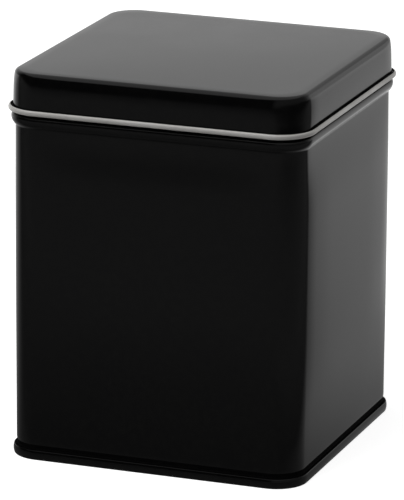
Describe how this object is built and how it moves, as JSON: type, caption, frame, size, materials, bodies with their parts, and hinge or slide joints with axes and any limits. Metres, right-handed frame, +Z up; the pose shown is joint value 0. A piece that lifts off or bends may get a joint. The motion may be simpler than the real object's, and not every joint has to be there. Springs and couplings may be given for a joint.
{
  "type": "tea tin",
  "caption": "Square tinplate canister with rounded corners, a lift-off lid with a rolled edge, and a double-seamed base, for keeping loose tea.",
  "frame": {"origin": "on the floor under the middle of the tin", "axes": "+Z up through the lid, -Y out of the front, +Y out of the face with the side seam"},
  "size_m": [0.0796, 0.0796, 0.099],
  "materials": {
    "black_lacquer": "gloss black lacquer on tinplate",
    "bare_tinplate": "bright bare tinplate with a fine rolling grain, on the rolled edge of the lid and inside"
  },
  "bodies": {
    "tin": {"body": "black_lacquer", "base": "black_lacquer"},
    "lid": {"lid": "black_lacquer"}
  },
  "joints": [
    {"name": "lid_lift", "type": "slide", "parent": "tin", "child": "lid", "axis": [0, 0, 1], "range_m": [0, 0.06]}
  ]
}
